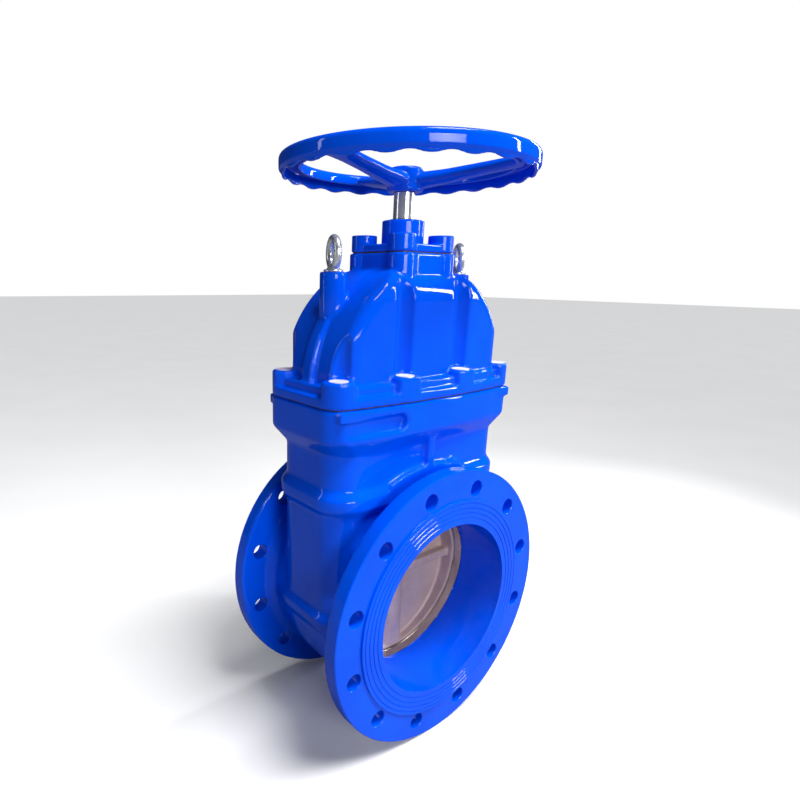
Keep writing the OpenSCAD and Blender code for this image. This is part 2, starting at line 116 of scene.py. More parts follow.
class Recipe:
    """A material's node tree, with short calls that add and join its nodes."""

    def __init__(self, name: str) -> None:
        """Starts a material.

        Args:
            name: The material's name.
        """
        self.material = bpy.data.materials.new(name)
        self.material.use_nodes = True
        self.tree = self.material.node_tree
        self.shader = self.tree.nodes["Principled BSDF"]
        self.place = self.tree.nodes.new("ShaderNodeTexCoord").outputs["Object"]

    def node(self, kind: str, inputs: dict[str, object] | None = None, **settings: object) -> bpy.types.Node:
        """Adds a node.

        Args:
            kind: The node's type.
            inputs: Values or sockets for its inputs, by input name.
            **settings: The node's own properties.

        Returns:
            The new node.
        """
        made = self.tree.nodes.new(kind)
        for key, value in settings.items():
            setattr(made, key, value)
        for key, value in (inputs or {}).items():
            self.join(value, made.inputs[key])
        return made

    def join(self, value: object, socket: bpy.types.NodeSocket) -> None:
        """Links a socket, or sets a plain value.

        Args:
            value: An output socket or a constant.
            socket: The input that takes it.
        """
        if isinstance(value, bpy.types.NodeSocket):
            self.tree.links.new(value, socket)
        else:
            socket.default_value = value

    def put(self, **inputs: object) -> None:
        """Sets the shader's inputs; an underscore in a name stands for a space."""
        for key, value in inputs.items():
            self.join(value, self.shader.inputs[key.replace("_", " ")])

    def noise(self, scale: float, detail: float = 2.0, stretch: Place | None = None) -> bpy.types.NodeSocket:
        """Adds soft noise.

        Args:
            scale: Features in a metre.
            detail: Octaves.
            stretch: Scale of each axis, for streaks.

        Returns:
            A socket between 0 and 1.
        """
        place = self.place
        if stretch is not None:
            place = self.node("ShaderNodeMapping", {"Vector": place, "Scale": stretch}).outputs["Vector"]
        made = self.node("ShaderNodeTexNoise", {"Vector": place, "Scale": scale, "Detail": detail})
        return made.outputs["Fac"]

    def turning(self, scale: float, direction: str, waviness: float = 0.3) -> bpy.types.NodeSocket:
        """Adds the fine circular lines that a lathe leaves.

        Args:
            scale: Fineness of the lines.
            direction: Axis that they run round.
            waviness: How unevenly they lie.

        Returns:
            A socket between 0 and 1.
        """
        centred = self.node("ShaderNodeMapping", {"Vector": self.place, "Location": (0, 0, -AXIS * MM)})
        made = self.node(
            "ShaderNodeTexWave",
            {"Vector": centred.outputs["Vector"], "Scale": scale, "Distortion": waviness, "Detail": 2.0},
            wave_type="RINGS",
            rings_direction=direction,
        )
        return made.outputs["Fac"]

    def sum(self, kind: str, first: object, second: object) -> bpy.types.NodeSocket:
        """Adds a Math node.

        Args:
            kind: Its operation.
            first: Its first input.
            second: Its second input.

        Returns:
            Its result.
        """
        made = self.tree.nodes.new("ShaderNodeMath")
        made.operation = kind
        self.join(first, made.inputs[0])
        self.join(second, made.inputs[1])
        return made.outputs[0]

    def spread(self, source: bpy.types.NodeSocket, low: float, high: float) -> bpy.types.NodeSocket:
        """Stretches noise over a range.

        Args:
            source: Noise, mostly between 0.3 and 0.7.
            low: Result where the noise is low.
            high: Result where it is high.

        Returns:
            The stretched value.
        """
        made = self.node(
            "ShaderNodeMapRange",
            {"Value": source, "From Min": 0.3, "From Max": 0.7, "To Min": low, "To Max": high},
        )
        return made.outputs["Result"]

    def tint(self, share: bpy.types.NodeSocket, first: object, second: object) -> bpy.types.NodeSocket:
        """Mixes two colours.

        Args:
            share: How much of the second.
            first: A colour or socket.
            second: A colour or socket.

        Returns:
            The mixed colour.
        """
        made = self.tree.nodes.new("ShaderNodeMix")
        made.data_type = "RGBA"
        self.join(share, made.inputs[0])
        self.join(first, made.inputs[6])
        self.join(second, made.inputs[7])
        return made.outputs[2]

    def relief(self, height: bpy.types.NodeSocket, depth: float, strength: float = 1.0) -> None:
        """Adds a layer of bump on top of those already there.

        Args:
            height: The pattern.
            depth: Its depth in millimetres.
            strength: Its share, from 0 to 1.
        """
        inputs = {"Height": height, "Distance": depth * MM, "Strength": strength}
        below = self.shader.inputs["Normal"]
        if below.is_linked:
            inputs["Normal"] = below.links[0].from_socket
        self.put(Normal=self.node("ShaderNodeBump", inputs).outputs["Normal"])


@dataclass(frozen=True)
class EpoxyPaint:
    """Thick glossy epoxy over a sand casting, with orange peel and the casting's own ripple below."""

    name: str = "glossy_blue_epoxy"
    thin: Colour = (0.0, 0.082, 0.80, 1.0)
    thick: Colour = (0.0, 0.066, 0.68, 1.0)
    face_y: float = 121.0

    def make(self) -> bpy.types.Material:
        """Returns the material."""
        mix = Recipe(self.name)
        cloud = mix.noise(14.0, 3.0)
        mix.put(Base_Color=mix.tint(mix.spread(cloud, 0.0, 1.0), self.thick, self.thin))
        mix.put(Roughness=mix.spread(mix.noise(60.0, 3.0), 0.16, 0.30))
        mix.put(Specular_IOR_Level=0.0, Coat_Weight=0.6, Coat_Roughness=0.035, Coat_IOR=1.4)
        mix.relief(mix.noise(48.0, 2.0), 0.9, 0.5)
        mix.relief(mix.noise(210.0, 2.0), 0.22, 0.6)
        mix.relief(mix.noise(700.0, 1.0), 0.04, 0.5)
        apart = mix.node("ShaderNodeSeparateXYZ", {"Vector": mix.place}).outputs["Y"]
        near_face = mix.sum("GREATER_THAN", mix.sum("ABSOLUTE", apart, 0.0), self.face_y * MM)
        mix.relief(mix.sum("MULTIPLY", mix.turning(330.0, "Y"), near_face), 0.03, 0.5)
        return mix.material


@dataclass(frozen=True)
class GritCasting:
    """Grit-blasted casting with a coppery film, for the wedge."""

    name: str = "grit_blasted_casting"
    dark: Colour = (0.26, 0.18, 0.17, 1.0)
    pale: Colour = (0.72, 0.55, 0.52, 1.0)

    def make(self) -> bpy.types.Material:
        """Returns the material."""
        mix = Recipe(self.name)
        grain = mix.noise(900.0, 3.0)
        cloud = mix.noise(22.0, 4.0)
        shade = mix.sum("MULTIPLY", mix.spread(grain, 0.25, 1.0), mix.spread(cloud, 0.55, 1.0))
        mix.put(Base_Color=mix.tint(shade, self.dark, self.pale))
        mix.put(Metallic=0.25, Roughness=mix.spread(grain, 0.38, 0.58))
        mix.relief(mix.noise(120.0, 3.0), 0.5, 0.5)
        mix.relief(grain, 0.35, 0.9)
        return mix.material


@dataclass(frozen=True)
class TurnedMetal:
    """Metal with the fine rings of a lathe."""

    name: str
    dark: Colour
    pale: Colour
    lines: float = 420.0
    direction: str = "Y"
    smooth: float = 0.16
    rough: float = 0.30

    def make(self) -> bpy.types.Material:
        """Returns the material."""
        mix = Recipe(self.name)
        rings = mix.turning(self.lines, self.direction, 0.8)
        stain = mix.noise(35.0, 4.0)
        mix.put(Base_Color=mix.tint(mix.spread(stain, 0.0, 1.0), self.dark, self.pale))
        mix.put(Metallic=1.0, Roughness=mix.spread(stain, self.smooth, self.rough))
        mix.relief(rings, 0.03, 0.5)
        return mix.material


@dataclass(frozen=True)
class DrawnMetal:
    """Bright bar or plated metal, with faint lines round its length."""

    name: str
    dark: Colour
    pale: Colour
    smooth: float = 0.08
    rough: float = 0.22
    speckle: float = 90.0
    lines: float = 1500.0

    def make(self) -> bpy.types.Material:
        """Returns the material."""
        mix = Recipe(self.name)
        stain = mix.noise(self.speckle, 4.0)
        mix.put(Base_Color=mix.tint(mix.spread(stain, 0.0, 1.0), self.dark, self.pale))
        mix.put(Metallic=0.7, Roughness=mix.spread(stain, self.smooth, self.rough))
        mix.relief(mix.noise(self.lines, 1.0, (0.05, 0.05, 1.0)), 0.015, 0.4)
        mix.relief(mix.noise(260.0, 2.0), 0.05, 0.3)
        return mix.material


@dataclass(frozen=True)
class PouredWax:
    """Pale wax poured over a screw head, dusty in the middle."""

    name: str = "poured_wax"
    milk: Colour = (0.62, 0.60, 0.86, 1.0)
    dust: Colour = (0.78, 0.77, 0.90, 1.0)

    def make(self) -> bpy.types.Material:
        """Returns the material."""
        mix = Recipe(self.name)
        cloud = mix.noise(190.0, 4.0)
        mix.put(Base_Color=mix.tint(mix.spread(cloud, 0.0, 1.0), self.milk, self.dust))
        mix.put(Roughness=mix.spread(cloud, 0.38, 0.6), Subsurface_Weight=0.15, Subsurface_Scale=0.002)
        mix.relief(mix.noise(420.0, 3.0), 0.12, 0.5)
        return mix.material


@dataclass(frozen=True)
class Moulded:
    """Rubber or plastic with a fine moulded grain."""

    name: str
    dark: Colour
    pale: Colour
    smooth: float
    rough: float

    def make(self) -> bpy.types.Material:
        """Returns the material."""
        mix = Recipe(self.name)
        cloud = mix.noise(150.0, 3.0)
        mix.put(Base_Color=mix.tint(mix.spread(cloud, 0.0, 1.0), self.dark, self.pale))
        mix.put(Roughness=mix.spread(cloud, self.smooth, self.rough))
        mix.relief(mix.noise(1400.0, 2.0), 0.03, 0.5)
        return mix.material


class Slot(Enum):
    """The record's material slots, each with the finish that fills it."""

    blue_epoxy = EpoxyPaint()
    cast_wedge = GritCasting()
    seat_steel = TurnedMetal("turned_seat_steel", (0.42, 0.38, 0.35, 1.0), (0.72, 0.68, 0.64, 1.0))
    stem_steel = DrawnMetal("ground_stem_steel", (0.62, 0.64, 0.68, 1.0), (0.82, 0.84, 0.88, 1.0))
    zinc_plate = DrawnMetal(
        "bright_zinc", (0.50, 0.53, 0.56, 1.0), (0.80, 0.83, 0.86, 1.0),
        smooth=0.14, rough=0.34, speckle=240.0,
    )
    screw_steel = DrawnMetal(
        "plain_screw_steel", (0.20, 0.20, 0.22, 1.0), (0.42, 0.42, 0.45, 1.0), smooth=0.25, rough=0.45
    )
    brass_alloy = TurnedMetal(
        "turned_brass", (0.52, 0.33, 0.12, 1.0), (0.72, 0.52, 0.22, 1.0),
        direction="Z", smooth=0.2, rough=0.35,
    )
    pale_wax = PouredWax()
    black_rubber = Moulded("black_rubber", (0.012, 0.012, 0.013, 1.0), (0.035, 0.035, 0.036, 1.0), 0.5, 0.75)
    bush_plastic = Moulded("pale_bush_plastic", (0.72, 0.69, 0.60, 1.0), (0.86, 0.84, 0.77, 1.0), 0.3, 0.45)


# ---------------------------------------------------------------- bench


class Bench:
    """Modelling steps that every sub-assembly shares."""

    @staticmethod
    def take(piece: bpy.types.Object) -> bpy.types.Object:
        """Selects one piece and nothing else.

        Args:
            piece: The piece to work on.

        Returns:
            The same piece.
        """
        if bpy.context.object is not None and bpy.context.object.mode != "OBJECT":
            bpy.ops.object.mode_set(mode="OBJECT")
        bpy.ops.object.select_all(action="DESELECT")
        piece.select_set(True)
        bpy.context.view_layer.objects.active = piece
        return piece

    @staticmethod
    def new(name: str) -> bpy.types.Object:
        """Names the primitive just added, and puts its place into its mesh.

        Args:
            name: The piece's name.

        Returns:
            The piece.
        """
        piece = Bench.take(bpy.context.object)
        piece.name = name
        bpy.ops.object.transform_apply(location=True, rotation=True, scale=True)
        return piece

    @staticmethod
    def link(name: str, data: bpy.types.ID) -> bpy.types.Object:
        """Puts a mesh, light or camera into the scene.

        Args:
            name: Name of its object.
            data: The mesh, light or camera.

        Returns:
            The object.
        """
        made = bpy.data.objects.new(name, data)
        bpy.context.scene.collection.objects.link(made)
        return made

    @staticmethod
    def copy_node(node: str, name: str) -> bpy.types.Object:
        """Copies a CAD node's mesh and merges its doubles.

        Args:
            node: The CAD node.
            name: Name of the copy.

        Returns:
            The copy, a closed mesh.
        """
        piece = Bench.link(name, frame["nodes"][node].data.copy())
        piece.data.materials.clear()
        Bench.take(piece)
        if piece.data.has_custom_normals:
            bpy.ops.mesh.customdata_custom_splitnormals_clear()
        Bench.open()
        bpy.ops.mesh.remove_doubles(threshold=4 * MERGE)
        bpy.ops.object.mode_set(mode="OBJECT")
        return piece

    @staticmethod
    def rod(
        start: Vector, end: Vector, radius: float, tip: float | None = None, sides: int = 96
    ) -> bpy.types.Object:
        """Adds a round rod or cone.

        Args:
            start: Middle of its first end.
            end: Middle of its other end.
            radius: Radius in millimetres at the start.
            tip: Radius at the end, where it differs.
            sides: Faces round it.

        Returns:
            The rod.
        """
        way = end - start
        bpy.ops.mesh.primitive_cone_add(
            vertices=sides,
            radius1=radius * MM,
            radius2=(radius if tip is None else tip) * MM,
            depth=way.length,
            location=(start + end) / 2,
            rotation=way.to_track_quat("Z", "Y").to_euler(),
        )
        return Bench.new("rod")

    @staticmethod
    def block(low: Vector, high: Vector) -> bpy.types.Object:
        """Adds a block.

        Args:
            low: Its lowest corner.
            high: Its highest corner.

        Returns:
            The block.
        """
        bpy.ops.mesh.primitive_cube_add(size=1.0, location=(low + high) / 2, scale=high - low)
        return Bench.new("block")

    @staticmethod
    def open() -> None:
        """Opens the piece at hand for editing, all of it selected."""
        bpy.ops.object.mode_set(mode="EDIT")
        bpy.ops.mesh.select_all(action="SELECT")

    @staticmethod
    def seal(merge: float = 0.0) -> None:
        """Turns every face outwards and ends the editing.

        Args:
            merge: Corners nearer than this become one first, in metres.
        """
        bpy.ops.mesh.select_all(action="SELECT")
        if merge > 0:
            bpy.ops.mesh.remove_doubles(threshold=merge)
        bpy.ops.mesh.normals_make_consistent(inside=False)
        bpy.ops.object.mode_set(mode="OBJECT")

    @staticmethod
    def pick(piece: bpy.types.Object, kind: str, chosen: Callable[[object], bool]) -> None:
        """Opens a piece for editing with some of its parts selected.

        Args:
            piece: The piece at hand.
            kind: VERT, EDGE or FACE.
            chosen: Says whether a part is selected.
        """
        bpy.ops.object.mode_set(mode="EDIT")
        bpy.ops.mesh.select_mode(type=kind)
        bpy.ops.mesh.select_all(action="DESELECT")
        bpy.ops.object.mode_set(mode="OBJECT")
        parts = {"VERT": piece.data.vertices, "EDGE": piece.data.edges, "FACE": piece.data.polygons}
        for part in parts[kind]:
            part.select = chosen(part)
        bpy.ops.object.mode_set(mode="EDIT")

    @staticmethod
    def drawn(outline: list[Point], axis: str = "Z") -> bpy.types.Object:
        """Draws a closed outline beside an axis.

        Args:
            outline: Radius and place along the axis of each corner, in millimetres.
            axis: "Y" for the pipe's axis, or "Z" for the stem's.

        Returns:
            The outline.
        """
        bpy.ops.mesh.primitive_circle_add(vertices=len(outline), radius=1.0, location=(0, 0, 0))
        piece = Bench.new("outline")
        for corner, (radius, along) in zip(piece.data.vertices, outline):
            corner.co = at(radius, along, 0) if axis == "Y" else at(radius, 0, along)
        return piece

    @staticmethod
    def spun(outline: list[Point], axis: str, steps: int = 192, side: int = 1) -> bpy.types.Object:
        """Spins a closed outline into a ring.

        Args:
            outline: Radius and place along the axis of each corner, in millimetres.
            axis: "Y" for the pipe's axis, or "Z" for the stem's.
            steps: Faces round it.
            side: -1 to mirror it to the other end of the axis.

        Returns:
            The ring, closed.
        """
        piece = Bench.drawn([(radius, side * along) for radius, along in outline], axis)
        Bench.open()
        way = (0, 1, 0) if axis == "Y" else (0, 0, 1)
        bpy.ops.mesh.spin(steps=steps, angle=2 * math.pi, center=at(0, 0, 0), axis=way)
        Bench.seal(MERGE)
        return piece

    @staticmethod
    def apply(piece: bpy.types.Object, kind: str, **settings: object) -> None:
        """Adds a modifier and applies it.

        Args:
            piece: The piece.
            kind: The modifier's type.
            **settings: The modifier's properties.
        """
        Bench.take(piece)
        step = piece.modifiers.new(kind.lower(), kind)
        for key, value in settings.items():
            setattr(step, key, value)
        bpy.ops.object.modifier_apply(modifier=step.name)

    @staticmethod
    def weld(piece: bpy.types.Object, *tools: bpy.types.Object) -> None:
        """Joins closed solids into one object, for recasting.

        Args:
            piece: The object that stays.
            *tools: Solids that become part of it.
        """
        Bench.take(piece)
        for tool in tools:
            tool.select_set(True)
        bpy.ops.object.join()

    @staticmethod
    def carve(piece: bpy.types.Object, *tools: bpy.types.Object, how: str = "DIFFERENCE") -> None:
        """Cuts solids out of a piece, or adds them to it.

        Args:
            piece: The piece.
            *tools: Closed solids, used up.
            how: The boolean operation.
        """
        for tool in tools:
            Bench.apply(piece, "BOOLEAN", object=tool, operation=how, solver="MANIFOLD")
            bpy.data.objects.remove(tool, do_unlink=True)

    @staticmethod
    def recast(piece: bpy.types.Object, grain: float, passes: int) -> None:
        """Gives a piece one even skin with every edge and corner softened, as a casting has.

        Args:
            piece: Overlapping closed solids.
            grain: Size of the new faces, in millimetres.
            passes: Rounds of softening.
        """
        Bench.apply(piece, "REMESH", mode="VOXEL", voxel_size=grain * MM)
        Bench.apply(piece, "SMOOTH", factor=0.5, iterations=passes)

    @staticmethod
    def soften(piece: bpy.types.Object, passes: int, where: Callable[[Vector], bool]) -> None:
        """Softens one region more than the rest.

        Args:
            piece: A recast piece.
            passes: Rounds of softening.
            where: Says whether a point, in millimetres from the pipe axis, lies in the region.
        """
        region = piece.vertex_groups.new(name="region")
        origin = at(0, 0, 0)
        chosen = [corner.index for corner in piece.data.vertices if where((corner.co - origin) / MM)]
        region.add(chosen, 1.0, "REPLACE")
        Bench.apply(piece, "SMOOTH", factor=0.5, iterations=passes, vertex_group="region")
        piece.vertex_groups.clear()

    @staticmethod
    def hollow(node: str, inside: Vector, *fillers: bpy.types.Object) -> bpy.types.Object:
        """Makes a solid of the space inside a CAD node.

        Args:
            node: The CAD node.
            inside: A point in the space.
            *fillers: Solids that together cover the space.

        Returns:
            The space as a closed solid.
        """
        space = fillers[0]
        Bench.carve(space, *fillers[1:], how="UNION")
        Bench.carve(space, Bench.copy_node(node, "cutter"))
        nearest = min(space.data.vertices, key=lambda corner: (corner.co - inside).length).index
        Bench.take(space)
        Bench.pick(space, "VERT", lambda corner: corner.index == nearest)
        bpy.ops.mesh.select_linked()
        bpy.ops.mesh.select_all(action="INVERT")
        bpy.ops.mesh.delete(type="VERT")
        bpy.ops.object.mode_set(mode="OBJECT")
        return space

    @staticmethod
    def turned(piece: bpy.types.Object, name: str, degrees: float, place: Vector) -> bpy.types.Object:
        """Copies a piece with its own mesh, turned about Z and moved.

        Args:
            piece: The piece to copy.
            name: Name of the copy.
            degrees: Turn about the vertical through the origin.
            place: Move after the turn.

        Returns:
            The copy.
        """
        made = Bench.link(name, piece.data.copy())
        made.data.transform(Matrix.Translation(place) @ Matrix.Rotation(math.radians(degrees), 4, "Z"))
        return made

    @staticmethod
    def finish(piece: bpy.types.Object, ride: Ride, slot: Slot, *nodes: str, angle: float = 35.0) -> None:
        """Dresses a finished piece and says what it moves with and stands for.

        Args:
            piece: The piece.
            ride: The body it moves with.
            slot: Its finish.
            *nodes: The CAD nodes it stands for.
            angle: Edges sharper than this stay crisp, in degrees.
        """
        Bench.take(piece)
        bpy.ops.object.shade_smooth_by_angle(angle=math.radians(angle))
        piece.data.materials.clear()
        piece.data.materials.append(FINISHES[slot])
        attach(piece, ride.value)
        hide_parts(*nodes)
        log.info("%s: %d faces, stands for %s", piece.name, len(piece.data.polygons), ", ".join(nodes))

    @staticmethod
    def dress(slot: Slot, *nodes: str) -> None:
        """Gives CAD nodes that stay a finish.

        Args:
            slot: The finish.
            *nodes: The nodes.
        """
        for name in nodes:
            node = frame["nodes"][name]
            if not node.material_slots:
                node.data.materials.append(None)
            for place in node.material_slots:
                place.material = FINISHES[slot]
            log.info("%s: CAD shape kept, finish %s", name, slot.name)


FINISHES: dict[Slot, bpy.types.Material] = {slot: slot.value.make() for slot in Slot}


# ---------------------------------------------------------------- castings


@dataclass
class BodyCasting:
    """The body with its two flanges. Heights are above the pipe axis, in millimetres."""

    flange_r: float = AXIS
    face_y: float = 125.0
    raised_r: float = 160.0
    raised_h: float = 3.0
    flange_t: float = 26.0
    stock: float = 3.0
    edge: float = 1.2
    neck_r: float = 150.0
    fillet: float = 15.0
    bore_r: float = 125.0
    bolt_r: float = 175.0
    hole_r: float = 11.5
    holes: int = 12
    groove_r: float = 134.0
    groove_step: float = 7.0
    grooves: int = 4
    joint_z: float = 294.0
    screw_r: float = 7.0
    screw_low: float = 284.0
    chamber: Point = (147.0, 57.0)
    grain: float = 2.4
    keep: float = 0.5
    screws: tuple[Point, ...] = ((153.0, 58.0), (54.0, 70.5))

    def build(self) -> None:
        """Casts the body, machines it and dresses it."""
        piece = Bench.copy_node("body", "body_casting")
        Bench.weld(piece, *self.stoppers(), *(self.neck_fillet(side) for side in (-1, 1)))
        Bench.recast(piece, self.grain, 7)
        Bench.soften(piece, 30, self.in_neck_corner)
        Bench.apply(piece, "DECIMATE", ratio=self.keep)
        for side in (-1, 1):
            Bench.carve(piece, self.facing_tool(side), *self.groove_tools(side))
        Bench.carve(piece, Bench.rod(at(0, -140, 0), at(0, 140, 0), self.bore_r, sides=192))
        Bench.carve(piece, self.chamber_space(), self.chamber_mouth())
        Bench.carve(piece, *self.hole_tools())
        Bench.finish(piece, Ride.CASING, Slot.blue_epoxy, "body")

    def in_neck_corner(self, point: Vector) -> bool:
        """Says whether a point lies where a port's neck meets the shell.

        Args:
            point: Millimetres from the pipe axis.

        Returns:
            True in the corner.
        """
        away = math.hypot(point.x, point.z)
        return 42 < abs(point.y) < 97 and point.z < 146 and self.neck_r - 12 < away < self.neck_r + 14

    def stoppers(self) -> list[bpy.types.Object]:
        """Closes the ports, the bolt holes and the top before recasting, and adds stock on each flange face.

        Returns:
            The solids.
        """
        made = []
        for side in (-1, 1):
            back = side * (self.face_y - self.flange_t + 2)
            rise = side * (self.face_y - 5)
            end = side * (self.face_y + self.stock)
            made.append(Bench.rod(at(0, back, 0), at(0, rise, 0), self.flange_r - 6, sides=180))
            made.append(Bench.rod(at(0, rise, 0), at(0, end, 0), self.flange_r, sides=180))
        made.append(Bench.block(at(-165, -77, self.joint_z - 14), at(165, 77, self.joint_z)))
        return made

    def neck_fillet(self, side: int) -> bpy.types.Object:
        """Makes the hollow curve where a port's neck runs into its flange.

        Args:
            side: -1 at the inlet, 1 at the outlet.

        Returns:
            A ring.
        """
        back = self.face_y - self.flange_t
        points = [(self.neck_r - 4, back - self.fillet), (self.neck_r, back - self.fillet)]
        for step in range(1, 8):
            turn = math.radians(90 * step / 7)
            points.append((
                self.neck_r + self.fillet * (1 - math.cos(turn)),
                back - self.fillet * (1 - math.sin(turn)),
            ))
        points += [(self.neck_r + self.fillet, back + 3), (self.neck_r - 4, back + 3)]
        return Bench.spun(points, "Y", 144, side)

    def facing_tool(self, side: int) -> bpy.types.Object:
        """Makes the space that facing a flange clears: before its raised face, its rim face and its edge.

        Args:
            side: -1 at the inlet, 1 at the outlet.

        Returns:
            A ring from inside the bore to outside the flange.
        """
        rim = self.face_y - self.raised_h
        points = [
            (60, self.face_y),
            (self.raised_r - 0.6, self.face_y),
            (self.raised_r, self.face_y - 0.6),
            (self.raised_r + 0.4, rim),
            (self.flange_r - self.edge, rim),
            (self.flange_r + 3, rim - self.edge - 3),
            (self.flange_r + 3, self.face_y + 8),
            (60, self.face_y + 8),
        ]
        return Bench.spun(points, "Y", 240, side)

    def groove_tools(self, side: int) -> list[bpy.types.Object]:
        """Makes the gasket grooves of a raised face.

        Args:
            side: -1 at the inlet, 1 at the outlet.

        Returns:
            One ring for each groove.
        """
        made = []
        for index in range(self.grooves):
            middle = self.groove_r + index * self.groove_step
            points = [
                (middle - 1.1, self.face_y + 1),
                (middle - 1.0, self.face_y),
                (middle - 0.45, self.face_y - 0.9),
                (middle + 0.45, self.face_y - 0.9),
                (middle + 1.0, self.face_y),
                (middle + 1.1, self.face_y + 1),
            ]
            made.append(Bench.spun(points, "Y", 240, side))
        return made

    def chamber_space(self) -> bpy.types.Object:
        """Returns the space inside the shell, with its seat pockets and guide rails."""
        wide, deep = self.chamber
        upper = Bench.block(at(-wide - 3, -deep - 3, 0), at(wide + 3, deep + 3, self.joint_z - 1))
        lower = Bench.rod(at(0, -deep - 3, 0), at(0, deep + 3, 0), wide + 3, sides=192)
        return Bench.hollow("body", at(0, 0, self.joint_z - 1), upper, lower)

    def chamber_mouth(self) -> bpy.types.Object:
        """Returns the last bit of the space at the joint."""
        wide, deep = self.chamber
        return Bench.block(at(-wide + 8, -deep, self.joint_z - 3), at(wide - 8, deep, self.joint_z + 5))

    def hole_tools(self) -> list[bpy.types.Object]:
        """Makes the flange bolt holes, countersunk a little at both ends, and the bonnet's screw holes.

        Returns:
            The solids.
        """
        front = self.face_y - self.raised_h
        back = self.face_y - self.flange_t
        made = []
        outline = [
            (CENTRE, front + 4), (self.hole_r + 5, front + 4), (self.hole_r, front - 1),
            (self.hole_r, back + 1), (self.hole_r + 5, back - 4), (CENTRE, back - 4),
        ]
        pattern = Bench.spun(outline, "Y", 40)
        for side in (-1, 1):
            for index in range(self.holes):
                turn = math.radians((index + 0.5) * 360 / self.holes)
                hole = Bench.link("hole", pattern.data.copy())
                if side < 0:
                    about = Matrix.Translation(at(0, 0, 0)) @ Matrix.Rotation(math.pi, 4, "Z")
                    hole.data.transform(about @ Matrix.Translation(-at(0, 0, 0)))
                aside = Vector((math.cos(turn), 0, math.sin(turn))) * self.bolt_r * MM
                hole.data.transform(Matrix.Translation(aside))
                made.append(hole)
        bpy.data.objects.remove(pattern, do_unlink=True)
        for x, y in quarters(self.screws):
            low, high = at(x, y, self.screw_low), at(x, y, self.joint_z + 3)
            made.append(Bench.rod(low, high, self.screw_r, sides=32))
        return made


@dataclass
class BonnetCasting:
    """The domed bonnet, its gland pad and its eyebolt bosses."""

    bonnet_z: float = 295.5
    lip_z: float = 307.5
    boss_z: float = 328.0
    pad_z: float = 479.0
    pocket_r: float = 12.0
    hole_r: float = 7.5
    collar_r: float = 28.0
    lobes: tuple[Point, ...] = ((36.0, 36.0),)
    lobe_low: float = 462.0
    eye_x: float = 118.0
    eye_z: float = 454.0
    eye_deep: float = 22.0
    foot_x: float = 115.0
    foot_low: float = 382.0
    foot_top: float = 402.0
    foot_r: Point = (16.9, 12.0)
    space: Point = (142.0, 56.0)
    space_top: float = 448.0
    passage_low: float = 428.0
    rail_x: float = 130.0
    mouth_drop: float = 4.0
    grain: float = 1.9
    screws: tuple[Point, ...] = BodyCasting.screws

    def build(self) -> None:
        """Casts the bonnet, machines it and dresses it."""
        piece = Bench.copy_node("bonnet", "bonnet_casting")
        Bench.weld(piece, *self.stoppers())
        Bench.recast(piece, self.grain, 7)
        Bench.carve(piece, self.dome_space(), self.dome_mouth())
        for x, y in quarters(self.screws):
            Bench.carve(
                piece,
                Bench.rod(at(x, y, self.lip_z), at(x, y, self.boss_z + 20), self.pocket_r, sides=64),
                Bench.rod(at(x, y, self.bonnet_z - 4), at(x, y, self.lip_z + 1), self.hole_r, sides=32),
            )
        for x, y in quarters(self.lobes):
            Bench.carve(piece, Bench.rod(at(x, y, self.lobe_low), at(x, y, self.pad_z + 3), 5.0, sides=24))
        Bench.finish(piece, Ride.CASING, Slot.blue_epoxy, "bonnet")

    def stoppers(self) -> list[bpy.types.Object]:
        """Closes every hole and the open underside before recasting, and tapers the eyebolt bosses' feet.

        Returns:
            The solids.
        """
        made = [
            Bench.rod(at(x, y, self.bonnet_z), at(x, y, self.boss_z), self.pocket_r + 0.4, sides=48)
            for x, y in quarters(self.screws)
        ]
        made += [
            Bench.rod(at(x, y, self.lobe_low - 2), at(x, y, self.pad_z), 6.0, sides=24)
            for x, y in quarters(self.lobes)
        ]
        for side in (-1, 1):
            x = side * self.eye_x
            made.append(Bench.rod(at(x, 0, self.eye_z - self.eye_deep), at(x, 0, self.eye_z), 6.0, sides=24))
        for side in (-1, 1):
            top, low = at(side * self.eye_x, 0, self.foot_top), at(side * self.foot_x, 0, self.foot_low)
            made.append(Bench.rod(top, low, *self.foot_r, sides=64))
        made.append(Bench.rod(at(0, 0, self.passage_low + 2), at(0, 0, self.pad_z), self.collar_r + 1))
        wide, deep = self.space
        floor = self.bonnet_z
        made.append(Bench.block(at(-wide - 4, -deep - 2, floor), at(wide + 4, deep + 2, floor + 9)))
        return made

    def dome_space(self) -> bpy.types.Object:
        """Returns the space inside the dome and the stem's passage above it."""
        wide, deep = self.space
        low = self.bonnet_z + 1
        dome = Bench.block(at(-wide, -deep, low), at(wide, deep, self.space_top))
        passage = Bench.rod(at(0, 0, self.passage_low), at(0, 0, self.pad_z + 3), self.collar_r + 3)
        return Bench.hollow("bonnet", at(self.rail_x, 0, low), dome, passage)

    def dome_mouth(self) -> bpy.types.Object:
        """Returns the same space set lower, which opens it at the joint."""
        mouth = self.dome_space()
        mouth.location.z -= self.mouth_drop * MM
        bpy.ops.object.transform_apply(location=True, rotation=False, scale=False)
        return mouth


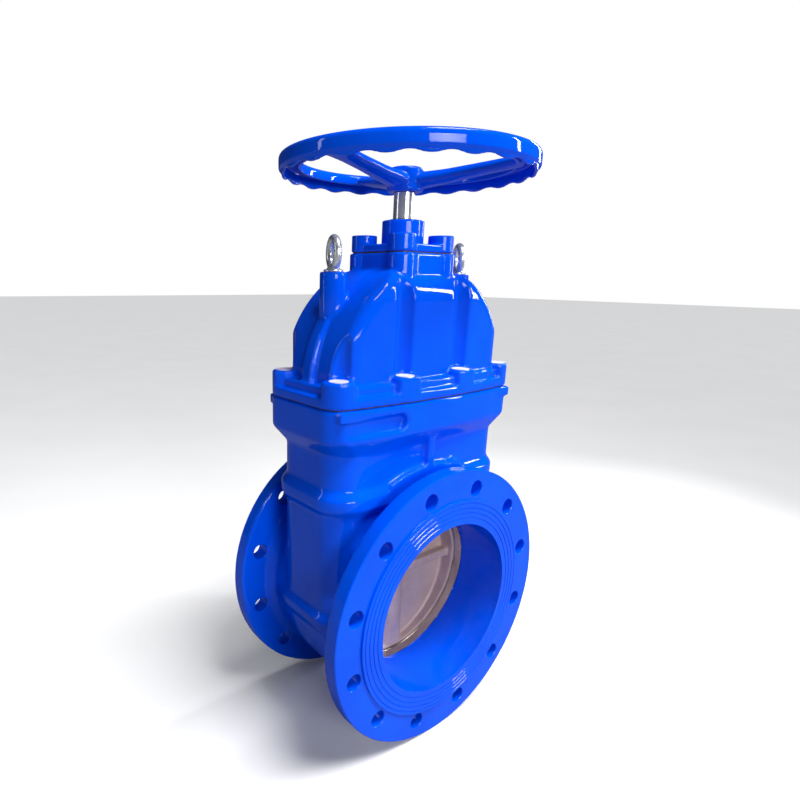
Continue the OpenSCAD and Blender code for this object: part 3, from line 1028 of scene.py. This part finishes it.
@dataclass
class GlandHousing:
    """The small housing on the pad, which holds the stem's seals."""

    low_z: float = 480.5
    lobe_z: float = 502.0
    top_z: float = 521.0
    bush_z: float = 482.0
    pocket_z: float = 488.0
    foot_z: float = 475.0
    bush_r: float = 20.0
    stem_r: float = 14.5
    pocket_r: float = 8.5
    hole_r: float = 5.5
    lobes: tuple[Point, ...] = BonnetCasting.lobes
    grain: float = 1.15

    def build(self) -> None:
        """Casts the housing, bores it and dresses it."""
        piece = Bench.copy_node("gland_housing", "gland_housing_casting")
        lobes = quarters(self.lobes)
        stoppers = [
            Bench.rod(at(x, y, self.low_z), at(x, y, self.lobe_z), self.pocket_r + 0.3) for x, y in lobes
        ]
        stoppers.append(Bench.rod(at(0, 0, self.low_z - 1), at(0, 0, self.top_z), self.bush_r + 1))
        Bench.weld(piece, *stoppers)
        Bench.recast(piece, self.grain, 6)
        for x, y in lobes:
            Bench.carve(
                piece,
                Bench.rod(at(x, y, self.pocket_z), at(x, y, self.lobe_z + 8), self.pocket_r, sides=48),
                Bench.rod(at(x, y, self.low_z - 3), at(x, y, self.pocket_z + 1), self.hole_r, sides=32),
            )
        Bench.carve(
            piece,
            Bench.rod(at(0, 0, self.bush_z), at(0, 0, self.top_z + 8), self.bush_r),
            Bench.rod(at(0, 0, self.foot_z - 3), at(0, 0, self.bush_z + 1), self.stem_r),
        )
        Bench.finish(piece, Ride.CASING, Slot.blue_epoxy, "gland_housing")


# ---------------------------------------------------------------- handwheel and stem


@dataclass
class Handwheel:
    """The cast handwheel: a hollow rim with a waved skirt, three spokes and a hub."""

    rim_r: float = 166.0
    inner_r: float = 137.0
    wall: float = 4.0
    band_low: float = 580.0
    top_z: float = 598.0
    skirt_low: float = 573.0
    inner_low: float = 583.0
    waves: int = 22
    wave_turn: float = 37.4
    wave_rise: float = 3.6
    hub_low: float = 556.0
    hub_top: float = 586.0
    hub_r: float = 23.5
    square: float = 19.0
    seat_z: float = 578.0
    hub_bore_r: float = 14.2
    washer_seat_r: float = 15.0
    spokes: tuple[float, ...] = (68.0, 188.0, 308.0)
    # one row for each station of a spoke: its radius, its height, its width and its depth
    stations: tuple[tuple[float, float, float, float], ...] = (
        (8, 569.0, 36, 22), (24, 570.5, 34, 20.5), (50, 574.0, 30, 18), (85, 580.0, 27, 16),
        (115, 585.0, 29, 15), (134, 588.0, 38, 14), (146, 589.5, 50, 13),
    )
    grain: float = 1.35

    def build(self) -> None:
        """Casts the wheel, broaches it and dresses it."""
        piece = self.rim()
        piece.name = "handwheel_casting"
        Bench.weld(piece, self.hub(), *self.all_spokes())
        Bench.recast(piece, self.grain, 5)
        half = self.square / 2
        Bench.carve(
            piece,
            Bench.block(at(-half, -half, self.hub_low - 4), at(half, half, self.seat_z + 1)),
            Bench.rod(at(0, 0, self.hub_low - 4), at(0, 0, self.hub_low + 0.5), self.hub_bore_r),
            Bench.rod(at(0, 0, self.seat_z), at(0, 0, self.hub_top + 6), self.washer_seat_r),
        )
        Bench.finish(piece, Ride.SPINDLE, Slot.blue_epoxy, "handwheel")

    def section(self) -> list[Point]:
        """Returns the rim's section: a channel open downwards, thicker at its top."""
        outer, inner, wall, top = self.rim_r, self.inner_r, self.wall, self.top_z
        return [
            (inner, self.inner_low),
            (inner, top - 6),
            (inner + 2, top - 2),
            (inner + 6, top),
            (outer - 5, top),
            (outer - 1.5, top - 1.5),
            (outer, top - 5),
            (outer, self.band_low + 1),
            (outer - 1, self.band_low - 0.5),
            (outer - 3, self.band_low - 1),
            (outer - 3, self.skirt_low),
            (outer - 3 - wall, self.skirt_low),
            (outer - 4 - wall, top - 8),
            (inner + wall + 1, top - 8),
            (inner + wall, self.inner_low),
        ]

    def rim(self) -> bpy.types.Object:
        """Spins one wave of the rim, shapes its skirt, and repeats it round the wheel.

        Returns:
            The whole rim.
        """
        steps = 12
        sector = 2 * math.pi / self.waves
        piece = Bench.drawn(self.section())
        Bench.open()
        bpy.ops.mesh.spin(steps=steps, angle=sector, center=at(0, 0, 0), axis=(0, 0, 1))
        for step in range(1, steps):
            share = math.sin(math.pi * step / steps) ** 2
            self.raise_skirt(piece, sector * step / steps, self.wave_rise * share)
        Bench.open()
        bpy.ops.transform.rotate(
            value=-math.radians(self.wave_turn), orient_axis="Z", center_override=at(0, 0, 0)
        )
        rest = self.waves - 1
        bpy.ops.mesh.spin(
            steps=rest, angle=2 * math.pi * rest / self.waves, dupli=True, center=at(0, 0, 0), axis=(0, 0, 1)
        )
        Bench.seal(20 * MERGE)
        return piece

    def raise_skirt(self, piece: bpy.types.Object, turn: float, rise: float) -> None:
        """Lifts the skirt's lower edge at one angle.

        Args:
            piece: The rim's first wave.
            turn: The angle, in radians, either way round.
            rise: How far, in millimetres.
        """
        floor = (self.skirt_low + AXIS) * MM

        def low_here(corner: bpy.types.MeshVertex) -> bool:
            angle = abs(math.atan2(corner.co.y, corner.co.x))
            return abs(corner.co.z - floor) < 1e-5 and abs(angle - turn) < 1e-3

        Bench.pick(piece, "VERT", low_here)
        bpy.ops.transform.translate(value=(0, 0, rise * MM))

    def hub(self) -> bpy.types.Object:
        """Returns the hub, slightly tapered, with rounded ends."""
        low, top, wide = self.hub_low, self.hub_top, self.hub_r
        outline = [
            (CENTRE, low), (wide - 2, low), (wide, low + 2), (wide - 1.5, top - 3), (wide - 4, top),
            (CENTRE, top),
        ]
        return Bench.spun(outline, "Z", 96)

    def all_spokes(self) -> list[bpy.types.Object]:
        """Models one spoke and copies it for the others.

        Returns:
            The spokes.
        """
        x, z, wide, high = self.stations[0]
        bpy.ops.mesh.primitive_circle_add(
            vertices=28, radius=0.5 * MM, fill_type="NGON", location=(x * MM, 0, z * MM),
            rotation=(0, math.pi / 2, 0),
        )
        spoke = Bench.new("spoke")
        Bench.open()
        bpy.ops.transform.resize(value=(1, wide, high), center_override=(x * MM, 0, z * MM))
        for new_x, new_z, new_wide, new_high in self.stations[1:]:
            step = ((new_x - x) * MM, 0, (new_z - z) * MM)
            bpy.ops.mesh.extrude_region_move(TRANSFORM_OT_translate={"value": step})
            grow = (1, new_wide / wide, new_high / high)
            bpy.ops.transform.resize(value=grow, center_override=(new_x * MM, 0, new_z * MM))
            x, z, wide, high = new_x, new_z, new_wide, new_high
        Bench.seal()
        made = [Bench.turned(spoke, "spoke", turn, at(0, 0, 0)) for turn in self.spokes]
        bpy.data.objects.remove(spoke, do_unlink=True)
        return made


@dataclass
class Stem:
    """The stem: a thread in the bonnet, a collar, a polished shank and a square end."""

    thread_low: float = 118.0
    thread_top: float = 442.0
    lead: float = 6.0
    crest_r: float = 17.95
    root_r: float = 14.6
    collar_low: float = 465.0
    collar_top: float = 475.0
    collar_r: float = 26.5
    shank_r: float = 14.0
    hub_low: float = 556.0
    square: float = 19.0
    square_top: float = 577.0
    screw_r: float = 5.0

    def build(self) -> None:
        """Turns the shank, adds the thread and the square, and dresses the stem."""
        piece = self.shank()
        piece.name = "stem_bar"
        Bench.carve(piece, self.square_end(), how="UNION")
        low, high = at(0, 0, self.square_top - 22), at(0, 0, self.square_top + 3)
        Bench.carve(piece, Bench.rod(low, high, self.screw_r))
        Bench.weld(piece, self.thread())
        Bench.finish(piece, Ride.SPINDLE, Slot.stem_steel, "stem")

    def shank(self) -> bpy.types.Object:
        """Returns the round parts above the thread, with small chamfers, and a core below it."""
        outline = [
            (CENTRE, self.thread_low), (self.root_r - 1, self.thread_low),
            (self.root_r + 0.2, self.thread_low + 2), (self.root_r + 0.2, self.thread_top + 2),
            (self.crest_r, self.thread_top + 6),
            (self.crest_r, self.collar_low), (self.collar_r - 0.8, self.collar_low),
            (self.collar_r, self.collar_low + 0.8), (self.collar_r, self.collar_top - 0.8),
            (self.collar_r - 0.8, self.collar_top), (self.shank_r, self.collar_top),
            (self.shank_r, self.hub_low - 0.8), (self.shank_r - 0.8, self.hub_low), (CENTRE, self.hub_low),
        ]
        return Bench.spun(outline, "Z", 96)

    def square_end(self) -> bpy.types.Object:
        """Returns the square that drives the wheel, its corners bevelled."""
        half = self.square / 2
        made = Bench.block(at(-half, -half, self.hub_low - 2), at(half, half, self.square_top))
        Bench.apply(made, "BEVEL", width=0.6 * MM, segments=2)
        return made

    def thread(self) -> bpy.types.Object:
        """Screws one tooth's section along the stem and closes both ends.

        Returns:
            The thread, a closed solid.
        """
        flat, flank = 0.32 * self.lead, 0.18 * self.lead
        tooth = [
            (self.root_r, 0.0), (self.root_r, flat), (self.crest_r, flat + flank),
            (self.crest_r, 2 * flat + flank), (self.root_r, self.lead),
        ]
        piece = Bench.drawn([(radius, self.thread_low + height) for radius, height in tooth])
        Bench.pick(piece, "EDGE", lambda edge: set(edge.vertices) == {0, len(tooth) - 1})
        bpy.ops.mesh.delete(type="EDGE_FACE")
        bpy.ops.object.mode_set(mode="OBJECT")
        turns = int((self.thread_top - self.thread_low) / self.lead)
        Bench.apply(
            piece, "SCREW", angle=2 * math.pi, screw_offset=self.lead * MM, iterations=turns, steps=40,
            render_steps=40, use_merge_vertices=True, merge_threshold=MERGE,
        )
        bpy.ops.object.mode_set(mode="EDIT")
        bpy.ops.mesh.select_mode(type="VERT")
        bpy.ops.mesh.select_all(action="SELECT")
        bpy.ops.mesh.remove_doubles(threshold=MERGE)
        bpy.ops.mesh.select_all(action="DESELECT")
        bpy.ops.mesh.select_non_manifold()
        bpy.ops.mesh.fill_holes(sides=0)
        Bench.seal()
        return piece


@dataclass
class WheelFastener:
    """The washer and the hexagon screw that hold the wheel on its square."""

    low_z: float = 578.0
    washer_t: float = 3.0
    washer_r: float = 14.0
    hole_r: float = 5.5
    head_h: float = 7.0
    head_r: float = 9.2
    shank_r: float = 4.9
    shank_low: float = 557.0

    def build(self) -> None:
        """Makes both pieces and dresses them."""
        low, top, edge = self.low_z, self.low_z + self.washer_t, 0.5
        outline = [
            (self.hole_r, low), (self.washer_r - edge, low), (self.washer_r, low + edge),
            (self.washer_r, top - edge), (self.washer_r - edge, top), (self.hole_r, top),
        ]
        washer = Bench.spun(outline, "Z", 64)
        washer.name = "wheel_washer"
        Bench.finish(washer, Ride.SPINDLE, Slot.zinc_plate, "handwheel_washer")
        screw = Bench.rod(at(0, 0, top), at(0, 0, top + self.head_h), self.head_r, sides=6)
        Bench.apply(screw, "BEVEL", width=0.5 * MM, segments=2)
        low, high = at(0, 0, top - 8), at(0, 0, top + self.head_h + 0.01)
        Bench.carve(screw, Bench.rod(low, high, self.head_r + 8, self.head_r - 1.4), how="INTERSECT")
        shank = Bench.rod(at(0, 0, self.shank_low), at(0, 0, top + 1), self.shank_r, sides=48)
        Bench.carve(screw, shank, how="UNION")
        screw.name = "wheel_screw"
        Bench.finish(screw, Ride.SPINDLE, Slot.zinc_plate, "handwheel_screw")


@dataclass
class Eyebolts:
    """Two cast lifting eyes, alike, each turned its own way."""

    eye_x: float = 118.0
    seat_z: float = 454.0
    ring_r: float = 17.5
    wire_r: float = 5.0
    rise: float = 22.0
    shank_r: float = 4.9
    shank_low: float = -19.0
    turns: tuple[tuple[str, float, float], ...] = (
        ("eyebolt_left", -1.0, 68.0),
        ("eyebolt_right", 1.0, 55.0),
    )

    def build(self) -> None:
        """Models one eye and copies it to both places."""
        eye = self.pattern()
        for node, side, turn in self.turns:
            made = Bench.turned(eye, node + "_casting", turn, at(side * self.eye_x, 0, self.seat_z))
            Bench.finish(made, Ride.CASING, Slot.zinc_plate, node)
        bpy.data.objects.remove(eye, do_unlink=True)

    def pattern(self) -> bpy.types.Object:
        """Returns one eye, standing on the origin."""
        bpy.ops.mesh.primitive_torus_add(
            major_radius=self.ring_r * MM, minor_radius=self.wire_r * MM,
            major_segments=72, minor_segments=28,
            location=(0, 0, self.rise * MM), rotation=(math.pi / 2, 0, 0),
        )
        eye = Bench.new("eye")
        collar = [
            (CENTRE, 0.0), (12.2, 0.0), (12.5, 0.4), (12.5, 2.0), (12.0, 2.6), (8.6, 3.4), (6.6, 7.0),
            (CENTRE, 7.0),
        ]
        foot = Bench.spun(collar, "Z", 64)
        foot.data.transform(Matrix.Translation(-at(0, 0, 0)))
        low, high = Vector((0, 0, self.shank_low * MM)), Vector((0, 0, MM))
        shank = Bench.rod(low, high, self.shank_r, sides=48)
        Bench.weld(eye, foot, shank)
        Bench.recast(eye, 0.6, 3)
        return eye


# ---------------------------------------------------------------- gate and small pieces


@dataclass
class WedgeCasting:
    """The wedge, a rough casting with two faces machined for its rings."""

    grain: float = 1.7

    def build(self) -> None:
        """Casts the wedge, cuts its ring seats and dresses it."""
        piece = Bench.copy_node("wedge", "wedge_casting")
        Bench.recast(piece, self.grain, 3)
        rings = ("inlet_wedge_ring", "outlet_wedge_ring")
        Bench.carve(piece, *(Bench.copy_node(node, "ring") for node in rings))
        Bench.finish(piece, Ride.GATE, Slot.cast_wedge, "wedge")


@dataclass
class WaxPlugs:
    """Wax poured over sunk screws, one object for each set."""

    node: str
    radius: float
    low_z: float
    top_z: float
    places: tuple[Point, ...]
    seed: int

    def build(self) -> None:
        """Pours one plug, copies it into each pocket, and dresses the set."""
        chance = random.Random(self.seed)
        plug = self.pattern()
        made = [
            Bench.turned(plug, "plug", chance.uniform(0, 360), at(x, y, self.low_z))
            for x, y in quarters(self.places)
        ]
        bpy.data.objects.remove(plug, do_unlink=True)
        Bench.weld(*made)
        made[0].name = self.node + "_poured"
        Bench.finish(made[0], Ride.CASING, Slot.pale_wax, self.node, angle=60.0)

    def pattern(self) -> bpy.types.Object:
        """Models a plug whose top creeps up its pocket's wall and dimples in the middle.

        Returns:
            One plug, standing on the origin.
        """
        high = self.top_z - self.low_z
        plug = Bench.rod(Vector((0, 0, 0)), Vector((0, 0, high * MM)), self.radius - 0.03, sides=48)
        Bench.pick(plug, "FACE", lambda face: face.normal.z > 0.9)
        for inset, drop in ((0.5, 0.0), (0.9, -0.35), (1.6, -0.35), (2.4, -0.1), (2.0, 0.05)):
            bpy.ops.mesh.inset(thickness=inset * MM, depth=0)
            bpy.ops.transform.translate(value=(0, 0, drop * MM))
        bpy.ops.object.mode_set(mode="OBJECT")
        return plug


class SmallParts:
    """CAD nodes that keep their shape: rings, washers, seals, screws and the wedge's nut."""

    finishes: dict[Slot, tuple[str, ...]] = {
        Slot.seat_steel: ("inlet_seat_ring", "outlet_seat_ring", "inlet_wedge_ring", "outlet_wedge_ring"),
        Slot.black_rubber: (
            "bonnet_gasket", "gland_gasket", "inner_stem_rings", "outer_bush_rings", "wiper_ring",
        ),
        Slot.screw_steel: ("bonnet_screws", "gland_screws"),
        Slot.brass_alloy: ("lower_thrust_washer", "upper_thrust_washer", "wedge_nut"),
        Slot.bush_plastic: ("stem_bush",),
    }

    def build(self) -> None:
        """Dresses each node."""
        for slot, nodes in self.finishes.items():
            Bench.dress(slot, *nodes)


# ---------------------------------------------------------------- studio


def show_apart(tree: bpy.types.NodeTree, cast: bpy.types.Node, shown: bpy.types.Node, end: str) -> None:
    """Shows one shader to the camera and lets another light everything else.

    Args:
        tree: The node tree of both.
        cast: The shader that lights.
        shown: The shader that is seen.
        end: Name of the tree's output node.
    """
    path, both = tree.nodes.new("ShaderNodeLightPath"), tree.nodes.new("ShaderNodeMixShader")
    tree.links.new(path.outputs["Is Camera Ray"], both.inputs["Fac"])
    tree.links.new(cast.outputs[0], both.inputs[1])
    tree.links.new(shown.outputs[0], both.inputs[2])
    tree.links.new(both.outputs["Shader"], tree.nodes[end].inputs["Surface"])


@dataclass
class Studio:
    """A pale floor, soft lights and the camera."""

    place: Place = (-0.5785, -0.5728, 0.4451 + AXIS * MM)
    yaw: float = 37.31
    pitch: float = -15.5
    roll: float = 0.73
    lens: float = 25.546
    shift: Point = (0.105125, 0.045625)

    def build(self) -> None:
        """Sets up everything."""
        self.floor()
        self.sky()
        self.sun((0.10, -0.22, 1.0), 2.8)
        self.panel("key", (-0.6, -2.35, 1.0), (1.2, 0.7), 5.4, 60.0)
        self.panel("window", (1.5, -1.15, 1.15), (0.12, 1.1), 6.0, 100.0)
        self.panel("side_window", (1.75, 0.15, 1.05), (0.12, 1.1), 5.0, 100.0)
        self.panel("ceiling", (0.15, -0.75, 2.1), (1.3, 0.10), 8.0, 120.0)
        self.panel("left_strip", (-1.6, 0.9, 1.0), (0.12, 1.2), 1.5, 120.0)
        self.camera()

    def floor(self) -> None:
        """Lays the floor, which looks pale and throws little light back up."""
        bpy.ops.mesh.primitive_plane_add(size=40.0, location=(0, 0, -0.0005))
        ground = Bench.new("floor")
        mix = Recipe("pale_floor")
        mix.put(Base_Color=mix.tint(mix.noise(3.0), (0.80, 0.80, 0.81, 1.0), (0.86, 0.86, 0.86, 1.0)))
        mix.put(Roughness=0.75)
        dim = mix.node("ShaderNodeBsdfDiffuse", {"Color": (0.30, 0.30, 0.31, 1.0)})
        show_apart(mix.tree, dim, mix.shader, "Material Output")
        ground.data.materials.append(mix.material)

    def sky(self) -> None:
        """Makes a pale surround that itself throws little light on the valve."""
        world = bpy.data.worlds.new("studio")
        world.use_nodes = True
        tree = world.node_tree
        shown, cast = tree.nodes["Background"], tree.nodes.new("ShaderNodeBackground")
        shown.inputs["Color"].default_value = (1.0, 1.0, 1.0, 1.0)
        cast.inputs["Color"].default_value = (0.80, 0.88, 1.0, 1.0)
        cast.inputs["Strength"].default_value = 0.05
        show_apart(tree, cast, shown, "World Output")
        bpy.context.scene.world = world

    def hang(self, name: str, light: bpy.types.Light, place: Place) -> None:
        """Hangs a lamp that faces the valve.

        Args:
            name: Its name.
            light: Its light.
            place: Where it hangs.
        """
        lamp = Bench.link(name, light)
        lamp.location = place
        lamp.rotation_euler = (Vector((0, 0, 0.42)) - Vector(place)).to_track_quat("-Z", "Y").to_euler()

    def sun(self, place: Place, power: float) -> None:
        """Adds the even light from above.

        Args:
            place: The direction it comes from.
            power: Its strength.
        """
        light = bpy.data.lights.new("sun", "SUN")
        light.energy = power
        light.angle = math.radians(25)
        self.hang("sun", light, place)

    def panel(self, name: str, place: Place, size: Point, power: float, spread: float) -> None:
        """Adds a soft panel, which shows as a highlight in the paint.

        Args:
            name: Its name.
            place: Where it hangs.
            size: Its width and height.
            power: Its power in watts.
            spread: The angle it shines into, in degrees.
        """
        light = bpy.data.lights.new(name, "AREA")
        light.shape = "RECTANGLE"
        light.size, light.size_y = size
        light.energy = power
        light.spread = math.radians(spread)
        self.hang(name, light, place)

    def camera(self) -> None:
        """Sets the camera up."""
        yaw, pitch, roll = (math.radians(angle) for angle in (self.yaw, self.pitch, self.roll))
        ahead = Vector((math.sin(yaw) * math.cos(pitch), math.cos(yaw) * math.cos(pitch), math.sin(pitch)))
        right = Vector((math.cos(yaw), -math.sin(yaw), 0))
        up = right.cross(ahead)
        side = right * math.cos(roll) + up * math.sin(roll)
        over = up * math.cos(roll) - right * math.sin(roll)
        eye = bpy.data.cameras.new("camera")
        eye.sensor_width = 36.0
        eye.lens = self.lens
        eye.shift_x, eye.shift_y = self.shift
        camera = bpy.data.objects.new("camera", eye)
        facing = Matrix((side, over, -ahead)).transposed().to_4x4()
        camera.matrix_world = Matrix.Translation(self.place) @ facing
        bpy.context.scene.collection.objects.link(camera)
        bpy.context.scene.camera = camera


def main() -> None:
    """Builds the valve from its body up, then the studio."""
    logging.basicConfig(level=logging.INFO, format="%(message)s")
    Bench.take(frame["nodes"]["body"])
    parts = (
        BodyCasting(),
        BonnetCasting(),
        GlandHousing(),
        Handwheel(),
        Stem(),
        WheelFastener(),
        Eyebolts(),
        WedgeCasting(),
        WaxPlugs("bonnet_screw_plugs", 12.0, 321.5, 328.5, BodyCasting.screws, 3),
        WaxPlugs("gland_screw_plugs", 8.5, 498.0, 502.5, BonnetCasting.lobes, 5),
        SmallParts(),
        Studio(),
    )
    for part in parts:
        part.build()
    bpy.context.scene.view_settings.view_transform = "Standard"


if __name__ == "__main__":
    main()
